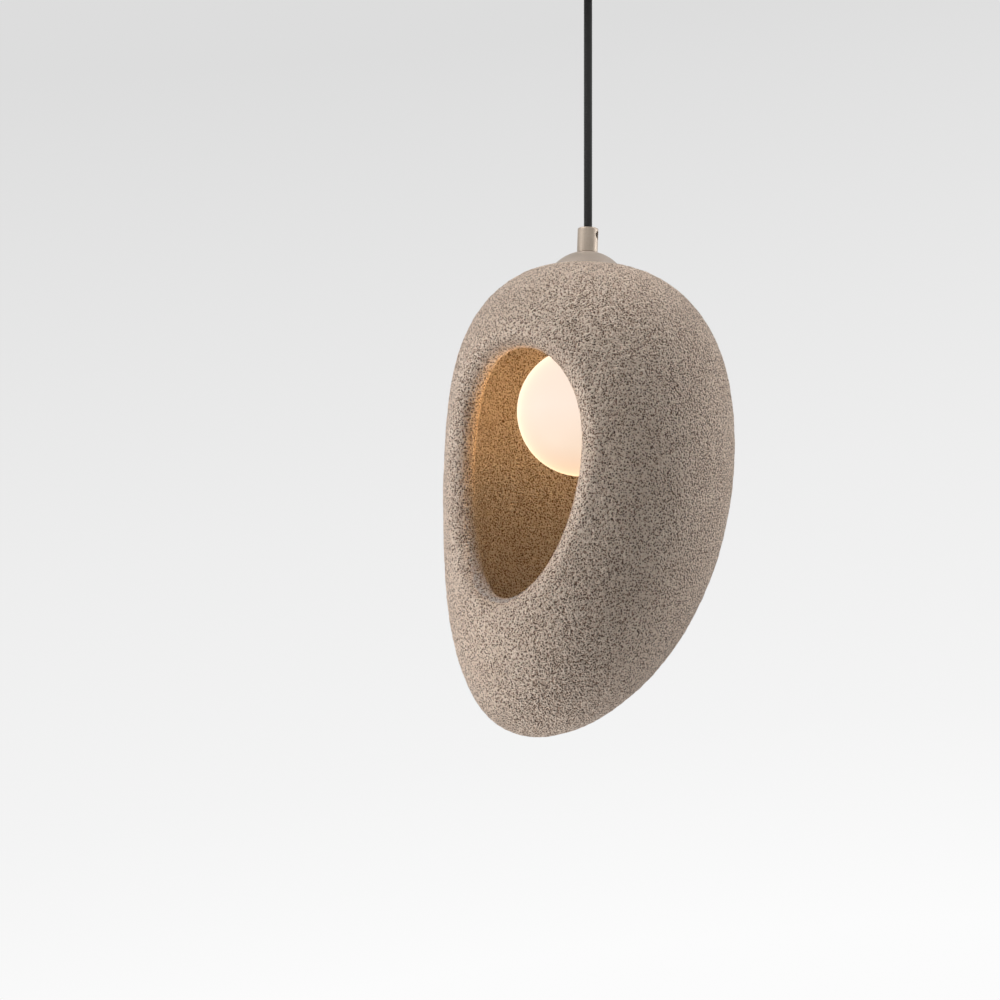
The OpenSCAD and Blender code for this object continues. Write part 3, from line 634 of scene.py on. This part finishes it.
def globe_profile():
    """Radius and height along the glass, from the outer bottom over the lip to the inner bottom,
    and the first and last step of the neck."""
    join = math.asin(NECK_R / GLOBE_R)
    outer = [(GLOBE_R * math.sin(a), GLOBE_Z - GLOBE_R * math.cos(a))
             for a in np.linspace(POLE_GAP, math.pi - join, OUTER_STEPS)]
    lip_z = NECK_TOP - LIP_H
    neck = [(NECK_R, z) for z in np.linspace(outer[-1][1], lip_z, NECK_STEPS)[1:]]
    lip_r = (NECK_R - NECK_BORE_R) / 2
    lip = [(NECK_BORE_R + lip_r + lip_r * math.cos(a), lip_z + LIP_H * math.sin(a))
           for a in np.linspace(0, math.pi, LIP_STEPS)[1:]]
    inner_r = GLOBE_R - GLASS_T
    join = math.asin(NECK_BORE_R / inner_r)
    inner = [(inner_r * math.sin(a), GLOBE_Z - inner_r * math.cos(a))
             for a in np.linspace(math.pi - join, POLE_GAP, INNER_STEPS)]
    return np.array(outer + neck + lip + inner), len(outer), len(outer) + len(neck)


def make_globe():
    profile, neck_start, neck_end = globe_profile()
    a = circle(GLOBE_SIDES)
    r, z = profile[:, 0][:, None], profile[:, 1][:, None]
    rows = np.arange(len(profile))[:, None]
    on_neck = (rows >= neck_start) & (rows < neck_end)
    low, high = profile[neck_start, 1], profile[neck_end - 1, 1]
    fade = smooth((z - low) / (3 * MM)) * smooth((high - z) / (2 * MM))
    wave = 0.5 - 0.5 * np.cos(2 * np.pi * z / THREAD_PITCH - a)
    r = r - np.where(on_neck, THREAD_DEPTH * fade * wave ** 2, 0)
    points = np.stack([r * np.cos(a), r * np.sin(a), z + 0 * r], -1).reshape(-1, 3)
    faces = rod_faces(len(profile), GLOBE_SIDES)
    piece = add_object("opal_globe", mesh_from("opal_globe", tilted(points), faces))
    fix_normals(piece)
    piece.data.materials.append(opal_material())
    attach(piece, "globe")
    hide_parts("globe")
    piece.visible_diffuse = False       # globe_glow lights the hollow instead


# --- CAD nodes ----------------------------------------------------------------------------------
SHARP_ANGLE, BEVEL_ANGLE = math.radians(35), math.radians(40)


def dress(material, names, bevel=0.0):
    """Gives CAD nodes their material, smooth shading and softly broken edges."""
    for name in names.split():
        piece = NODES[name]
        piece.data.materials.clear()
        piece.data.materials.append(material)
        piece.data.shade_smooth()
        piece.data.set_sharp_from_angle(angle=SHARP_ANGLE)
        if bevel:
            change = piece.modifiers.new("edge", "BEVEL")
            change.width = bevel
            change.segments = 2
            change.limit_method = "ANGLE"
            change.angle_limit = BEVEL_ANGLE
            change.harden_normals = True


def dress_cad():
    satin = painted_metal("satin_warm_metal", (0.33, 0.27, 0.215), (0.43, 0.36, 0.295), 0.6, 0.40)
    matte = painted_metal("matte_warm_coat", (0.33, 0.275, 0.23), (0.40, 0.335, 0.28), 0.3, 0.5)
    dress(satin, "cord_grip", 0.25 * MM)
    dress(matte, "canopy dome_cap holder_cup globe_ring", 0.25 * MM)
    dress(satin, "cord_bush canopy_screws ring_screws", 0.15 * MM)
    steel = brushed_metal("zinc_steel", (0.42, 0.43, 0.44), (0.60, 0.60, 0.60), 0.36, "X")
    dress(steel, "ceiling_bracket clamp_plate socket_bridge", 0.2 * MM)
    dress(steel, "bush_nut block_screw socket_screws bulb_pins", 0.1 * MM)
    black_steel = brushed_metal("black_steel", (0.02, 0.02, 0.021), (0.04, 0.04, 0.04), 0.45, "X")
    dress(black_steel, "grip_screw", 0.1 * MM)
    brass = brushed_metal("bare_brass", (0.62, 0.42, 0.16), (0.74, 0.53, 0.23), 0.30)
    dress(brass, "threaded_tube cap_spacer clamp_nut holder_nut", 0.15 * MM)
    dress(brass, "earth_tag socket_contacts terminal_screws earth_screw", 0.08 * MM)
    nylon = smooth_plastic("white_nylon", (0.72, 0.71, 0.67), (0.80, 0.79, 0.75), 0.45)
    dress(nylon, "terminal_block bush_screw", 0.3 * MM)
    ceramic = smooth_plastic("glazed_ceramic", (0.78, 0.76, 0.71), (0.86, 0.85, 0.80), 0.22, 120)
    dress(ceramic, "socket_body bulb_base", 0.4 * MM)
    dress(smooth_plastic("soft_rubber", (0.016, 0.016, 0.016), (0.03, 0.03, 0.03), 0.8, 500),
          "cap_washer", 0.2 * MM)
    dress(smooth_plastic("brown_insulation", (0.11, 0.038, 0.014), (0.16, 0.06, 0.025)),
          "canopy_lead_live lamp_lead_live")
    dress(smooth_plastic("blue_insulation", (0.012, 0.06, 0.33), (0.02, 0.09, 0.42)),
          "canopy_lead_neutral lamp_lead_neutral")
    dress(earth_material(), "canopy_lead_earth lamp_lead_earth")
    dress(braid_material(), "cord_tail cord_stub")
    dress(board_material(), "bulb_board", 0.1 * MM)
    dress(frosted_material(), "bulb_envelope")


# --- Light and stage ----------------------------------------------------------------------------
FLOOR_Z = -2.3
STAGE_R, STAGE_CURVE, STAGE_TOP = 3.6, 0.5, 2.2
STAGE_SIDES = 96
# Painted light on the backdrop: greys of its glow between two heights, darker upwards and a little
# to the left, as the studio light would fall
STAGE_LOW, STAGE_HIGH = -2.1, 1.2
STAGE_PAINTED_LIGHT = ((0.06, 0.972), (0.26, 0.905), (0.50, 0.852), (0.74, 0.784), (0.95, 0.723))
STAGE_ASIDE = -0.045


def make_stage():
    """A pale floor that curves up into a wall all round, glowing with painted light."""
    flat = STAGE_R - STAGE_CURVE
    profile = [(r, FLOOR_Z) for r in np.linspace(0.02, flat, 12)]
    profile += [(flat + STAGE_CURVE * math.sin(a), FLOOR_Z + STAGE_CURVE * (1 - math.cos(a)))
                for a in np.linspace(0, math.pi / 2, 20)[1:]]
    profile += [(STAGE_R, z) for z in np.linspace(FLOOR_Z + STAGE_CURVE, STAGE_TOP, 8)[1:]]
    points = [(r * math.cos(a), r * math.sin(a), z)
              for r, z in profile for a in circle(STAGE_SIDES)]
    faces = grid_faces(len(profile), STAGE_SIDES) + [tuple(range(STAGE_SIDES))]
    stage = add_object("stage", mesh_from("stage", points, faces))
    s = Shader("paper_sweep", roughness=0.9, Specular_IOR_Level=0.0)
    aside = s.math("ADD", s.math("MULTIPLY", s.axis("X"), RIGHT.x),
                   s.math("MULTIPLY", s.axis("Y"), RIGHT.y))
    level = s.math("ADD", s.remap(s.axis("Z"), STAGE_LOW, STAGE_HIGH, 0, 1),
                   s.math("MULTIPLY", aside, STAGE_ASIDE), clamp=True)
    # The backdrop's own colour is black: all its brightness is painted light in its glow
    s.colour((0, 0, 0, 1))
    s.glow(s.ramp(level, *((at, grey(tone)) for at, tone in STAGE_PAINTED_LIGHT)))
    stage.data.materials.append(s.material)
    stage.visible_diffuse = False
    stage.visible_shadow = False


SHADE_MIDDLE = Vector((0, 0, GLOBE_Z - 50 * MM))
# Where each soft box hangs, from the globe: right, near and up. Then its size and power in watts
SOFT_BOXES = {
    "side_left": ((-1.5, 0.15, 0.2), (0.8, 1.0), 3.5),
    "side_right": ((1.5, -0.35, 0.2), (0.8, 1.0), 10.0),
    "top_left": ((-1.0, 0.3, 1.3), (0.8, 0.8), 24.0),
    "top_right": ((1.0, 0.0, 1.2), (0.8, 0.8), 12.0),
    "low_right": ((0.9, 0.0, -1.1), (0.8, 0.8), 4.0),
    "low_left": ((-0.9, 0.2, -1.1), (0.8, 0.8), 13.0),
    "low_front": ((-0.9, 1.0, -0.8), (0.8, 0.8), 3.5),
    "fill_front": ((0.0, 1.8, 0.4), (1.6, 2.0), 3.0),
}
GLOW_POWER, GLOW_COLOUR = 0.42, (1.0, 0.63, 0.28)
SKY_STRENGTH = 0.15


def add_light(name, kind, power):
    data = bpy.data.lights.new(name, kind)
    data.energy = power
    light = add_object(name, data)
    light.visible_camera = False
    return light


def soft_box(name, where, size, power):
    light = add_light(name, "AREA", power)
    light.data.shape = "RECTANGLE"
    light.data.size, light.data.size_y = size
    light.location = where
    light.rotation_mode = "QUATERNION"
    light.rotation_quaternion = (SHADE_MIDDLE - where).to_track_quat("-Z", "Y")


def make_lights():
    for name, (where, size, power) in SOFT_BOXES.items():
        soft_box(name, place(*where), size, power)
    lamp = add_light("globe_glow", "POINT", GLOW_POWER)
    lamp.data.color = GLOW_COLOUR
    lamp.data.shadow_soft_size = GLOBE_R + 0.6 * MM
    lamp.data.use_soft_falloff = False
    lamp.location = globe_middle()
    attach(lamp, "lamp")
    world = bpy.data.worlds.new("studio")
    world.use_nodes = True
    sky = world.node_tree.nodes["Background"]
    sky.inputs["Color"].default_value = (1, 1, 1, 1)
    sky.inputs["Strength"].default_value = SKY_STRENGTH
    bpy.context.scene.world = world
    bpy.context.scene.view_settings.view_transform = "Standard"


make_camera()
make_cord()
make_shade()
make_globe()
dress_cad()
make_stage()
make_lights()
